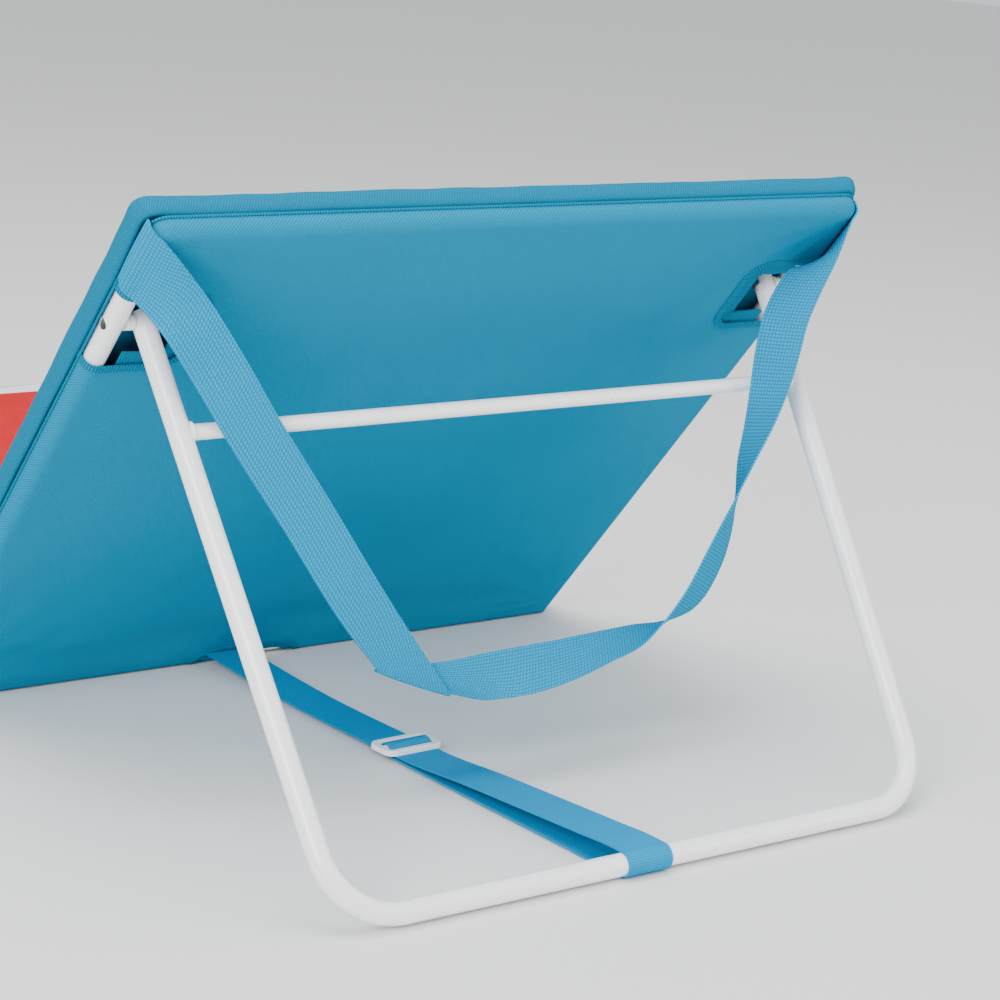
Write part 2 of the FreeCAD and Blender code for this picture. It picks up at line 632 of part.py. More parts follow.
def stay_x(y):
    """Middle of the stay webbing at a distance behind the bottom bar's line."""
    share = (y - size["base_y"]) / (FOOT_AXIS.y - size["base_y"])
    return size["stay_base_x"] + share * (size["stay_foot_x"] - size["stay_base_x"])


def stay_skew():
    """Angle of the stay webbing from straight back, in degrees."""
    return math.degrees(math.atan2(size["stay_base_x"] - size["stay_foot_x"], FOOT_AXIS.y - BAR_AXIS.y))


def round_bar(axis, x, radius, first, last, steps):
    """Webbing stations round a bar, from one angle to another in the yz plane."""
    stations = []
    for step in range(steps + 1):
        angle = math.radians(first + (last - first) * step / steps)
        out = Vector(0, math.cos(angle), math.sin(angle))
        middle = Vector(x, axis.y, axis.z) + out * radius
        stations.append((middle, X_AXIS * (size["web_width"] / 2), out))
    return stations


def flat_run(points):
    """Webbing stations through (y, z) points, along the stay's slightly skewed line."""
    skew = math.radians(stay_skew())
    wide = Vector(math.cos(skew), math.sin(skew), 0) * (size["web_width"] / 2)
    stations = []
    for index, (y, z) in enumerate(points):
        ahead = points[min(index + 1, len(points) - 1)]
        behind = points[max(index - 1, 0)]
        out = Vector(0, behind[1] - ahead[1], ahead[0] - behind[0])
        stations.append((Vector(stay_x(y), y, z), wide, out))
    return stations


def stay_webbing():
    """The webbing between the bottom bar and the ground bar, and the slider that adjusts it."""
    middle = size["tube_radius"] + size["web_play"] + size["web"] / 2
    bar = BAR_AXIS
    foot = FOOT_AXIS
    slider = size["base_y"] + size["slider_y"]
    under = size["slider_z"] - 0.3 - size["web"] / 2
    over = size["slider_z"] + size["slider_height"] + 0.3 + size["web"] / 2
    webbing("stay_bottom_bar_loop", round_bar(bar, stay_x(bar.y), middle, 28, 332, 26))
    half = size["slider_length"] / 2
    slot = size["slider_rim"] + size["slider_slot"] / 2
    webbing("stay_single_ply", flat_run([
        (bar.y + middle + 1.6, bar.z), (bar.y + 40, 9.0), (bar.y + 110, 6.4),
        (slider - half - 12, under), (slider - half + size["slider_rim"], under),
        (slider - half + slot, (under + over) / 2), (slider - 2.6, over), (slider + 2.6, over),
        (slider + half - slot, (under + over) / 2), (slider + half - size["slider_rim"], under)]))
    top = foot.z + middle
    low = foot.z - middle
    upper = flat_run([(slider + half - size["slider_rim"] + 0.5, under), (slider + half + 14, under),
                      (foot.y - 120, 9.5), (foot.y - 40, top - 3.2), (foot.y - 8, top)])
    lower = flat_run([(foot.y - 8, low + 0.25), (foot.y - 60, low + 0.6), (foot.y - 150, low + 0.9),
                      (slider + half + 14, under - 2.1), (slider, under - 2.1)])
    webbing("stay_upper_ply", upper)
    webbing("stay_lower_ply", lower)
    webbing("stay_ground_bar_wrap", round_bar(foot, stay_x(foot.y), middle, 140, -140, 26))

    place = Placement(Vector(stay_x(slider), slider, size["slider_z"]), Rotation(Z_AXIS, stay_skew()))
    body = doc.addObject("PartDesign::Body", "slider")
    start = "dims.slider_length"
    outline = sketch_on(body, "slider_outline", "XY_Plane")
    rectangle(outline, "dims.slider_width", "dims.slider_length", "0 mm")
    plate = body.newObject("PartDesign::Pad", "slider_plate")
    plate.Profile = outline
    bind(plate, Length="dims.slider_height")
    doc.recompute()
    corners = body.newObject("PartDesign::Fillet", "slider_corners")
    corners.Base = (plate, upright_edges(plate.Shape))
    bind(corners, Radius="dims.slider_corner")
    slots = sketch_on(body, "slider_slots", "XY_Plane")
    slot_width = "dims.slider_width - 2 * dims.slider_rim"
    rectangle(slots, slot_width, "dims.slider_slot", "dims.slider_rim")
    rectangle(slots, slot_width, "dims.slider_slot",
              "%s - dims.slider_rim - dims.slider_slot" % start)
    cut = body.newObject("PartDesign::Pocket", "slider_cut")
    cut.Profile = slots
    cut.Type = "ThroughAll"
    cut.Midplane = True
    doc.recompute()
    if cut.Shape.Volume >= plate.Shape.Volume * 0.8:
        raise RuntimeError("the slider's slots cut too little")
    rounding = body.newObject("PartDesign::Fillet", "slider_edges")
    rims = [index for index, edge in enumerate(cut.Shape.Edges, start=1)
            if min(vertex.Point.z for vertex in edge.Vertexes) > size["slider_height"] - 0.001]
    rounding.Base = (cut, ["Edge%d" % index for index in rims])
    bind(rounding, Radius="dims.slider_edge")
    shift = Placement(Vector(0, -size["slider_length"] / 2, 0), Rotation())
    keep(body, "strap_slider", place.multiply(shift))


# ---------------------------------------------------------------- build, check and write
mat_panels()
backrest_frame()
pivots()
backrest_pad()
rear_cover()
stand()
carry_strap()
stay_webbing()
doc.recompute()

for thing in doc.Objects:
    if "Invalid" in thing.State or "Error" in thing.State:
        raise RuntimeError("%s did not recompute: %s" % (thing.Label, thing.State))
for node in nodes:
    if node.Shape.isNull() or not node.Shape.isValid() or not node.Shape.Solids:
        raise RuntimeError("%s has no valid solid" % node.Label)

os.makedirs("parts", exist_ok=True)
whole = FreeCAD.BoundBox()
for node in nodes:
    node.Shape.exportStep("parts/%s.step" % node.Label)
    whole.add(node.Shape.BoundBox)
print("%d nodes" % len(nodes))
print("box x %.1f..%.1f y %.1f..%.1f z %.2f..%.1f" % (
    whole.XMin, whole.XMax, whole.YMin, whole.YMax, whole.ZMin, whole.ZMax))
print("pivot axis y %.2f z %.2f" % (PIVOT_AXIS.y, PIVOT_AXIS.z))
print("ground bar axis y %.2f z %.2f" % (FOOT_AXIS.y, FOOT_AXIS.z))
print("fold line y %.2f z %.2f" % (FOLD_LINE.y, FOLD_LINE.z))
print("mat fold y %.2f" % (SEAT_FRONT - size["panel_gap"] / 2))
print("leg slope %.3f, closing angle from the panel %.2f" % (
    math.degrees(LEG_SLOPE), 180 - math.degrees(LEG_SLOPE) - size["recline"]))
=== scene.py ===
"""Folding beach lounger seen from behind: looks, soft parts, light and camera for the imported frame."""
import bpy
import json
import math
from mathutils import Matrix, Vector, noise


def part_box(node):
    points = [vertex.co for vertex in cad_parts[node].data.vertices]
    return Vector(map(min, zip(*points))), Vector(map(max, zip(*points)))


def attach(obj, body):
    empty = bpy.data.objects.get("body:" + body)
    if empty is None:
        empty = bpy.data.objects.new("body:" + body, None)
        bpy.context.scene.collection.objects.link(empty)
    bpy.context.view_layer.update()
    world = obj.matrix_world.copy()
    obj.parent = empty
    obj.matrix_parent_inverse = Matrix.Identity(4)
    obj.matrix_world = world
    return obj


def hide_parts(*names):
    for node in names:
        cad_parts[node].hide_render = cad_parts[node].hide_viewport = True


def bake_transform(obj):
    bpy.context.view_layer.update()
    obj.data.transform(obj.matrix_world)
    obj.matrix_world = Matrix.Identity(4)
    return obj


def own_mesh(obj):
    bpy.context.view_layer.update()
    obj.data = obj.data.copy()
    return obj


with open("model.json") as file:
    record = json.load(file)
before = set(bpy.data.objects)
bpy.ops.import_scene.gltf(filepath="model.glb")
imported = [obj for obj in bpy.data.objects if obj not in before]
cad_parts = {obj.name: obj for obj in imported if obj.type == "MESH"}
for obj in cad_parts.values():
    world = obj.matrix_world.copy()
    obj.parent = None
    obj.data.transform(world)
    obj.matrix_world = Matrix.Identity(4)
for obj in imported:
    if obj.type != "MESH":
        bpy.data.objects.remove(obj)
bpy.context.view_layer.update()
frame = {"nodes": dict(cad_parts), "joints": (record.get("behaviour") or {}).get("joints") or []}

MM = 0.001

# ---------------------------------------------------------------- places taken from the frame
JOINTS = {joint["name"]: joint for joint in frame["joints"]}
BAR_LOW, BAR_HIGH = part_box("backrest_bottom_bar")
BAR = (BAR_LOW + BAR_HIGH) / 2
PIVOT = Vector(JOINTS["stand_hinge"]["pos_m"])
UP = (PIVOT - BAR).normalized()
ACROSS = Vector((1, 0, 0))
FRONT = ACROSS.cross(UP)
WRAP_LOW, WRAP_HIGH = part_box("stay_ground_bar_wrap")
GROUND_BAR = (WRAP_LOW + WRAP_HIGH) / 2
SLIDER_LOW, SLIDER_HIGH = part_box("strap_slider")
SLIDER = (SLIDER_LOW + SLIDER_HIGH) / 2
FOLD_LINE = Vector(JOINTS["backrest_hinge"]["pos_m"])
MAT_FOLD = Vector(JOINTS["mat_fold"]["pos_m"])
SEAT_LOW, SEAT_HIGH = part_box("seat_edge_binding")
FOOT_LOW, FOOT_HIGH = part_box("foot_edge_binding")

# ---------------------------------------------------------------- sizes, in millimetres
SIDE = 298          # side tube from the middle
TOP = 537           # top tube above the bottom bar
ROLL = 9.3          # rear cloth round the tubes, radius
BAR_ROLL = 9.7      # cloth round the bottom bar, radius
SEAM = 3.5          # seam with the pad, in front of the tubes
LIP = 6.4           # how far the pad's bound edge stands back past the pad
CORNER = 14         # corners of the pads and the rear cloth
CLOTH = 1.1         # rear cloth
TAPE = 0.9          # hem tape
FOLD_TAPE = 0.7     # tape over a fold of the mat
WEB = 1.3           # carry strap
STAY_WEB = 1.2      # stay webbing
TURN_WEB = 1.15     # stay webbing where it turns round a bar
HALF_WEB = 19       # half the width of both webbings
STAY_HIGH = 36      # stay at the bottom bar, across from the middle
LANE = 285          # inner edge of the cloth channel over a side tube
CHANNEL_TOP = 524   # lower edge of the channel over the top tube
CHANNEL_LOW = 18    # upper edge of the channel over the bottom bar
CUT_LOW, CUT_HIGH = 410, 480        # openings at the pivots, above the bottom bar
CUT_IN, CUT_OUT = 240, 340          # their inner edge, and past the cloth's edge
ARCH_LOW, ARCH_HIGH = -38, 64       # opening at the bottom bar
ARCH_FOOT, ARCH_TOP = -60, 11       # below the cloth's edge, and its top
CUT_ROUND, ARCH_ROUND = 16, 26      # their corners
PAD_HALF = 315      # half the width of the pads
PAD_LOW, PAD_HIGH = -14, 551        # backrest pad, from the bottom bar
BACK_PAD, MAT_PAD = 9.6, 9.4        # pads before they are stuffed
BACK_MIDDLE = 16.3  # middle of the backrest pad, in front of the tubes' axes
MAT_MIDDLE = 6.5    # middle of the mat's pads, above the ground
HEM = (-0.9, 5, 0.5)                # hem at a pivot: from and to, outward of the edge, and lift
FLAP = (1, -13, -2.2)               # its turned-in flap
ARCH_HEM, ARCH_FLAP = (-0.9, 4, 0.5), (1, -9, -1.2)     # the same at the bottom opening
HEM_STEP = 2.5      # between a hem's points
FOLD_STEP = 1.5     # between a fold tape's points
OPENINGS = (
    ((CUT_IN, CUT_OUT, CUT_LOW, CUT_HIGH), CUT_ROUND),
    ((-CUT_OUT, -CUT_IN, CUT_LOW, CUT_HIGH), CUT_ROUND),
    ((ARCH_LOW, ARCH_HIGH, ARCH_FOOT, ARCH_TOP), ARCH_ROUND),
)


def panel(x, up, front):
    """A point by its place on the backrest, in millimetres."""
    return BAR + ACROSS * x * MM + UP * up * MM + FRONT * front * MM


def behind(x, y, z):
    """A point by its place across, behind the bottom bar and above the ground, in millimetres."""
    return Vector((x * MM, BAR.y + y * MM, z * MM))


# ---------------------------------------------------------------- materials
class Shader:
    """A node material on the principled shader."""

    def __init__(self, name):
        self.material = bpy.data.materials.new(name)
        self.material.use_nodes = True
        self.tree = self.material.node_tree
        self.surface = self.tree.nodes["Principled BSDF"]

    def add(self, kind, inputs=None, **settings):
        node = self.tree.nodes.new(kind)
        for name, value in settings.items():
            setattr(node, name, value)
        for key, value in (inputs or {}).items():
            if isinstance(value, bpy.types.NodeSocket):
                self.tree.links.new(value, node.inputs[key])
            else:
                node.inputs[key].default_value = value
        return node

    def maths(self, operation, first, second=0.0):
        return self.add("ShaderNodeMath", {0: first, 1: second}, operation=operation).outputs[0]

    def mix(self, share, first, second):
        node = self.add("ShaderNodeMix", {0: share, 6: first, 7: second}, data_type="RGBA")
        return node.outputs[2]

    def noise(self, scale, detail, vector):
        inputs = {"Scale": scale, "Detail": detail, "Vector": vector}
        return self.add("ShaderNodeTexNoise", inputs).outputs["Fac"]

    def bump(self, height, strength, distance):
        node = self.add("ShaderNodeBump", {"Strength": strength, "Distance": distance,
                                           "Height": height})
        self.tree.links.new(node.outputs["Normal"], self.surface.inputs["Normal"])

    def finish(self, **values):
        """Sets the principled shader's inputs; spaces in their names are written as underscores."""
        for name, value in values.items():
            socket = self.surface.inputs[name.replace("_", " ")]
            if isinstance(value, bpy.types.NodeSocket):
                self.tree.links.new(value, socket)
            else:
                socket.default_value = value
        return self.material


def rgb(red, green, blue):
    """An opaque colour."""
    return (red, green, blue, 1.0)


def shade(colour, factor):
    """The colour made darker or lighter."""
    return (colour[0] * factor, colour[1] * factor, colour[2] * factor, 1.0)


def cloth_coordinates(shader):
    """Distances along and across the cloth in metres, from the piece's own map."""
    uv = shader.add("ShaderNodeUVMap", uv_map="cloth").outputs["UV"]
    split = shader.add("ShaderNodeSeparateXYZ", {0: uv})
    return uv, split.outputs["X"], split.outputs["Y"]


def sine(shader, coordinate, length):
    """A sine wave of that length along a coordinate."""
    return shader.maths("SINE", shader.maths("MULTIPLY", coordinate, 2 * math.pi / length))


def cloth_height(shader, weave, along, across, pitch):
    """Height of the weave between 0 and 1: twill, ribs or basket."""
    if weave == "twill":
        rib = sine(shader, shader.maths("ADD", along, across), pitch)
        thread = sine(shader, shader.maths("SUBTRACT", across, along), pitch * 0.62)
        both = shader.maths("ADD", shader.maths("MULTIPLY", rib, 0.35),
                            shader.maths("MULTIPLY", thread, 0.15))
        return shader.maths("ADD", both, 0.5)
    if weave == "ribs":
        rib = sine(shader, along, pitch)
        return shader.maths("ADD", shader.maths("MULTIPLY", rib, 0.5), 0.5)
    first = sine(shader, along, 2 * pitch)
    second = sine(shader, across, 2 * pitch)
    return shader.maths("ABSOLUTE", shader.maths("MULTIPLY", first, second))


def cloth(name, colour, weave, pitch, depth, contrast):
    """Woven cloth: pitch and depth of the weave in metres, contrast between thread and gap."""
    shader = Shader(name)
    uv, along, across = cloth_coordinates(shader)
    height = cloth_height(shader, weave, along, across, pitch)
    patches = shader.noise(scale=9.0, detail=4.0, vector=uv)
    threads = shader.noise(scale=900.0, detail=2.0, vector=uv)
    tone = shader.maths("ADD", shader.maths("MULTIPLY", height, 0.7),
                        shader.maths("MULTIPLY", threads, 0.6))
    grain = shader.mix(tone, shade(colour, 1 - contrast), shade(colour, 1 + contrast * 0.6))
    worn = shader.mix(shader.maths("MULTIPLY", patches, 0.22), grain, shade(colour, 0.72))
    relief = shader.maths("ADD", height, shader.maths("MULTIPLY", threads, 0.5))
    shader.bump(relief, 0.6, depth)
    return shader.finish(Base_Color=worn, Roughness=0.85, Sheen_Weight=0.04,
                         Sheen_Roughness=0.4, Sheen_Tint=colour, Specular_IOR_Level=0.02)


def printed_cloth(name, half_width, half_length, far_border):
    """Red field, white border and a blue-grey line along the sewn edges; sizes in metres."""
    border, line = 0.048, 0.010
    red, white, blue = rgb(0.62, 0.0, 0.004), rgb(0.95, 0.96, 0.97), rgb(0.16, 0.27, 0.42)
    shader = Shader(name)
    uv, along, across = cloth_coordinates(shader)
    from_edge = shader.maths("SUBTRACT", half_width, shader.maths("ABSOLUTE", along))
    if far_border:
        from_end = shader.maths("ADD", across, half_length)
        from_edge = shader.maths("MINIMUM", from_edge, from_end)
    inside = shader.maths("GREATER_THAN", from_edge, border)
    rim = shader.maths("LESS_THAN", from_edge, line)
    printed = shader.mix(rim, shader.mix(inside, white, red), blue)
    height = cloth_height(shader, "twill", along, across, 0.0016)
    tone = shader.maths("MULTIPLY", height, 0.12)
    shaded = shader.mix(tone, printed, shader.mix(1.0, printed, rgb(0.02, 0.02, 0.02)))
    dust = shader.maths("MULTIPLY", shader.noise(scale=30.0, detail=4.0, vector=uv), 0.04)
    worn = shader.mix(dust, shaded, rgb(0.9, 0.88, 0.86))
    shader.bump(height, 0.5, 0.0003)
    return shader.finish(Base_Color=worn, Roughness=0.85, Specular_IOR_Level=0.08)


def white_paint():
    """Glossy white powder coat with a faint orange peel and small scuffs."""
    shader = Shader("white_powder_coat")
    place = shader.add("ShaderNodeTexCoord").outputs["Object"]
    scuffs = shader.maths("GREATER_THAN", shader.noise(scale=160.0, detail=8.0, vector=place), 0.66)
    haze = shader.noise(scale=14.0, detail=4.0, vector=place)
    colour = shader.mix(shader.maths("MULTIPLY", haze, 0.25), rgb(0.97, 0.97, 0.97),
                        rgb(0.86, 0.88, 0.90))
    worn = shader.mix(shader.maths("MULTIPLY", scuffs, 0.25), colour, rgb(0.5, 0.5, 0.5))
    roughness = shader.maths("ADD", 0.22, shader.maths("MULTIPLY", haze, 0.16))
    shader.bump(shader.noise(scale=500.0, detail=2.0, vector=place), 0.12, 0.0002)
    return shader.finish(Base_Color=worn, Roughness=roughness, Coat_Weight=0.5,
                         Coat_Roughness=0.12)


def plastic(name, colour, roughness):
    """Moulded plastic with a faint mottle."""
    shader = Shader(name)
    place = shader.add("ShaderNodeTexCoord").outputs["Object"]
    mottle = shader.noise(scale=60.0, detail=5.0, vector=place)
    tone = shader.mix(shader.maths("MULTIPLY", mottle, 0.2), colour, shade(colour, 0.8))
    shader.bump(shader.noise(scale=900.0, detail=3.0, vector=place), 0.15, 0.0001)
    return shader.finish(Base_Color=tone, Roughness=roughness, Coat_Weight=0.2)


def plated_steel():
    """Zinc-plated steel, lightly brushed."""
    shader = Shader("rivet_steel")
    place = shader.add("ShaderNodeTexCoord").outputs["Object"]
    brushed = shader.noise(scale=400.0, detail=6.0, vector=place)
    roughness = shader.maths("ADD", 0.25, shader.maths("MULTIPLY", brushed, 0.3))
    shader.bump(brushed, 0.2, 0.0001)
    return shader.finish(Base_Color=rgb(0.55, 0.55, 0.56), Metallic=1.0, Roughness=roughness)


CYAN = rgb(0.0, 0.22, 0.38)     # rear cloth
DEEP = rgb(0.0, 0.17, 0.30)     # backs of the pads, and tapes
BRIGHT = rgb(0.0, 0.29, 0.53)   # carry strap
CLEAR = rgb(0.0, 0.27, 0.52)    # stay
LOOKS = {
    "rear": cloth("rear_twill", CYAN, "twill", 0.0028, 0.0004, 0.5),
    "pad": cloth("pad_back_twill", DEEP, "twill", 0.0022, 0.0004, 0.4),
    "tape": cloth("ribbed_tape", DEEP, "ribs", 0.0022, 0.0005, 0.55),
    "carry": cloth("carry_webbing", BRIGHT, "basket", 0.0028, 0.0009, 0.6),
    "stay": cloth("stay_webbing", CLEAR, "basket", 0.0018, 0.0005, 0.45),
    "paint": white_paint(),
    "plastic": plastic("white_plastic", rgb(0.95, 0.95, 0.94), 0.42),
    "rivet": plated_steel(),
}


# ---------------------------------------------------------------- meshes
def make(name, vertices, faces, uvs=None, look=None):
    """A mesh object; uvs holds one (u, v) in metres for each vertex."""
    mesh = bpy.data.meshes.new(name)
    mesh.from_pydata([tuple(v) for v in vertices], [], faces)
    if uvs:
        layer = mesh.uv_layers.new(name="cloth")
        for loop in mesh.loops:
            layer.data[loop.index].uv = uvs[loop.vertex_index]
    mesh.polygons.foreach_set("use_smooth", [True] * len(mesh.polygons))
    thing = bpy.data.objects.new(name, mesh)
    bpy.context.collection.objects.link(thing)
    if look:
        mesh.materials.append(LOOKS[look])
    return thing


def grid_faces(rows, columns):
    """Four-sided faces between vertices that are listed row by row."""
    faces = []
    for row in range(rows - 1):
        for column in range(columns - 1):
            first = row * columns + column
            faces.append((first, first + 1, first + columns + 1, first + columns))
    return faces


def apply_modifiers(thing):
    """Puts the modified mesh in place of the object's own."""
    bpy.context.view_layer.update()
    seen = thing.evaluated_get(bpy.context.evaluated_depsgraph_get())
    mesh = bpy.data.meshes.new_from_object(seen)
    thing.modifiers.clear()
    thing.data = mesh


def thicken(thing, thickness, offset=0.0):
    """Makes a closed solid of a sheet: offset 0 to both sides, -1 against its normals."""
    solid = thing.modifiers.new("thickness", "SOLIDIFY")
    solid.thickness = thickness * MM
    solid.offset = offset
    solid.use_even_offset = False
    apply_modifiers(thing)


def sharpen(thing, degrees):
    """Shades edges sharp where the faces turn by more than that."""
    thing.data.set_sharp_from_angle(angle=math.radians(degrees))


def ripple(across, up, wide, tall, pattern, height=1.0):
    """Smooth waves of that width, length and height, in millimetres."""
    return noise.noise(Vector((across / wide, up / tall, pattern))) * height


def curve_through(points, steps):
    """Points on a smooth curve through the given vectors, which may be unevenly spaced."""
    ends = [points[0] * 2 - points[1]] + list(points) + [points[-1] * 2 - points[-2]]
    curve = []
    for index in range(1, len(ends) - 2):
        a, b, c, d = ends[index - 1:index + 3]
        first, span, last = (b - a).length, (c - b).length, (d - c).length
        start = ((b - a) / first * span + (c - b) / span * first) / (first + span) * span
        finish = ((c - b) / span * last + (d - c) / last * span) / (span + last) * span
        for step in range(steps):
            t = step / steps
            curve.append(b * (2 * t ** 3 - 3 * t ** 2 + 1) + c * (3 * t ** 2 - 2 * t ** 3)
                         + start * (t ** 3 - 2 * t ** 2 + t) + finish * (t ** 3 - t ** 2))
    curve.append(points[-1].copy())
    return curve


def band(name, left, right, look, thickness, cup=0.0):
    """Webbing between two edge curves; cup bows its middle out of its face."""
    columns = 9
    vertices, uvs = [], []
    run_left = run_right = 0.0
    for row, (a, b) in enumerate(zip(left, right)):
        if row:
            run_left += (a - left[row - 1]).length
            run_right += (b - right[row - 1]).length
        following = min(row + 1, len(left) - 1)
        before = max(row - 1, 0)
        along = (left[following] + right[following] - left[before] - right[before]).normalized()
        out = along.cross(b - a).normalized()
        for column in range(columns):
            share = column / (columns - 1)
            bow = cup * MM * (1 - (2 * share - 1) ** 2)
            vertices.append(a.lerp(b, share) + out * bow)
            uvs.append((run_left + (run_right - run_left) * share, share * (b - a).length))
    thing = make(name, vertices, grid_faces(len(left), columns), uvs, look)
    thicken(thing, thickness)
    sharpen(thing, 60)
    return thing


# ---------------------------------------------------------------- rear cloth
def rolled(distance, centre, radius):
    """Flat distance from the middle to (place, height): flat, then round a tube, then straight."""
    quarter = radius * math.pi / 2
    if distance <= centre:
        return distance, -radius
    if distance <= centre + quarter:
        angle = (distance - centre) / radius
        return centre + radius * math.sin(angle), -radius * math.cos(angle)
    return centre + radius, distance - centre - quarter


def rounded_corner(x, up, half, top, radius):
    """Draws a square corner in to a round one."""
    dx = abs(x) - (half - radius)
    dy = up - (top - radius)
    if dx <= 0 or dy <= 0:
        return x, up
    reach = max(dx, dy)
    length = math.hypot(dx, dy)
    return (math.copysign(half - radius + dx * reach / length, x),
            top - radius + dy * reach / length)


def corner_pull(across, up):
    """Small folds that run out from the sewn corners and along the bottom bar."""
    folds_round, fold_height, fold_length = 16, 1.1, 70
    low_corner, low_fold, low_fold_width = 20, 42, 26
    pull = 0.0
    for corner in ((SIDE, TOP), (-SIDE, TOP), (SIDE, low_corner), (-SIDE, low_corner)):
        dx, dy = across - corner[0], up - corner[1]
        fold = math.sin(math.atan2(dy, dx) * folds_round + corner[0]) * fold_height
        pull += fold * math.exp(-math.hypot(dx, dy) / fold_length)
    low = math.exp(-((up - low_fold) / low_fold_width) ** 2)
    return pull + low * (1.6 + ripple(across, up, 70, 40, 9.0, 2.4))


def rear_point(across, up):
    """A point of the rear cloth by its flat distances from the middle and from the bottom bar."""
    x, side_height = rolled(abs(across), SIDE, ROLL)
    x = math.copysign(x, across)
    if up < 0:
        angle = -up / BAR_ROLL
        place = -BAR_ROLL * math.sin(angle)
        return panel(x, place, max(side_height, -BAR_ROLL * math.cos(angle)))
    y, top_height = rolled(up, TOP, ROLL)
    height = max(side_height, top_height)
    x, y = rounded_corner(x, y, SIDE + ROLL, TOP + ROLL, CORNER)
    fade = 30
    flat = max(0.0, min(1.0, (SIDE - abs(across)) / fade, (TOP - up) / fade, up / fade))
    slack = ripple(across, up, 150, 110, 0.3, 1.8)
    slack += ripple(across, up, 38, 75, 5.1, 0.6)
    slack += corner_pull(across, up)
    return panel(x, y, height + slack * flat)


def marks(stops, step):
    """Values from stop to stop with about that step, keeping each stop."""
    values = [stops[0]]
    for low, high in zip(stops, stops[1:]):
        count = max(1, round(abs(high - low) / step))
        values += [low + (high - low) * (i + 1) / count for i in range(count)]
    return values


def in_box(across, up, box):
    """Whether a flat place lies in an opening's square outline."""
    low_x, high_x, low_up, high_up = box
    return low_x <= across <= high_x and low_up <= up <= high_up


def round_openings(across, up):
    """Moves points on the square outlines of the openings to their round corners."""
    for box, radius in OPENINGS:
        if not in_box(across, up, box):
            continue
        low_x, high_x, low_up, high_up = box
        middle, height = (low_x + high_x) / 2, (low_up + high_up) / 2
        half_x, half_up = (high_x - low_x) / 2, (high_up - low_up) / 2
        x, y = rounded_corner(across - middle, abs(up - height), half_x, half_up, radius)
        return middle + x, height + math.copysign(y, up - height)
    return across, up


def rear_grid():
    """Places of the cloth's columns and rows, closer together round the tubes and the arch."""
    flat_step, arch_step, tube_step, bar_step = 5, 3, 2.4, 2.6
    under_bar = -BAR_ROLL * 2.2
    side_end = SIDE + ROLL * math.pi / 2 + SEAM
    top_end = TOP + ROLL * math.pi / 2 + SEAM
    half = marks([ARCH_HIGH, CUT_IN, LANE, SIDE], flat_step)
    half += marks([SIDE, side_end], tube_step)[1:]
    middle = marks([-ARCH_HIGH, ARCH_LOW, 0, ARCH_HIGH], arch_step)
    columns = [-x for x in reversed(half)] + middle[1:-1] + half
    rows = marks([under_bar, 0, ARCH_TOP, CHANNEL_LOW], bar_step)
    rows += marks([CHANNEL_LOW, CUT_LOW, CUT_HIGH, CHANNEL_TOP, TOP], flat_step)[1:]
    rows += marks([TOP, top_end], tube_step)[1:]
    return columns, rows


def rear_faces(columns, rows):
    """Faces of the channels over the tubes and of the middle, without the openings."""
    channel, inner = [], []
    for row in range(len(rows) - 1):
        for column in range(len(columns) - 1):
            across = (columns[column] + columns[column + 1]) / 2
            up = (rows[row] + rows[row + 1]) / 2
            if any(in_box(across, up, box) for box, radius in OPENINGS):
                continue
            first = row * len(columns) + column
            face = (first, first + len(columns), first + len(columns) + 1, first + 1)
            in_middle = abs(across) < LANE and CHANNEL_LOW < up < CHANNEL_TOP
            (inner if in_middle else channel).append(face)
    return channel, inner


def face_edges(faces):
    """Each face's edges in its own order."""
    return [edge for face in faces for edge in zip(face, face[1:] + face[:1])]


def channel_wall(vertices, uvs, channel, inner):
    """Adds the channels' inner wall, which reaches the pad and stops clear of the pivots."""
    clear = 12
    depth, cloth_used = ROLL + 7, 0.016
    points, places = list(vertices), list(uvs)
    taken = {frozenset(edge) for edge in face_edges(channel)}
    walls, lower = [], {}
    for first, second in face_edges(inner):
        if frozenset((first, second)) not in taken:
            continue
        if any(CUT_LOW - clear < uvs[i][1] / MM < CUT_HIGH + clear for i in (first, second)):
            continue
        for i in (first, second):
            if i not in lower:
                lower[i] = len(points)
                points.append(vertices[i] + FRONT * depth * MM)
                places.append((uvs[i][0] + cloth_used, uvs[i][1] + cloth_used))
        walls.append((first, second, lower[second], lower[first]))
    return points, channel + walls, places


def rear_cloth():
    """The rear cloth: its middle and its channels, as separate pieces."""
    columns, rows = rear_grid()
    vertices, uvs = [], []
    for row in rows:
        for column in columns:
            across, up = round_openings(column, row)
            vertices.append(rear_point(across, up))
            uvs.append((across * MM, up * MM))
    channel, inner = rear_faces(columns, rows)
    outer = make("rear_channel", *compact(*channel_wall(vertices, uvs, channel, inner)), "rear")
    sheet = make("rear_panel", *compact(vertices, inner, uvs), "rear")
    for item in (outer, sheet):
        thicken(item, CLOTH, -1.0)
        sharpen(item, 50)
        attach(item, "backrest")
    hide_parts("backrest_rear_panel")
    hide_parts("bottom_bar_sleeves")
    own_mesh(sheet)


def compact(vertices, faces, uvs):
    """Leaves out the vertices that no face uses."""
    used = sorted({index for face in faces for index in face})
    place = {old: new for new, old in enumerate(used)}
    return ([vertices[i] for i in used], [tuple(place[i] for i in face) for face in faces],
            [uvs[i] for i in used])


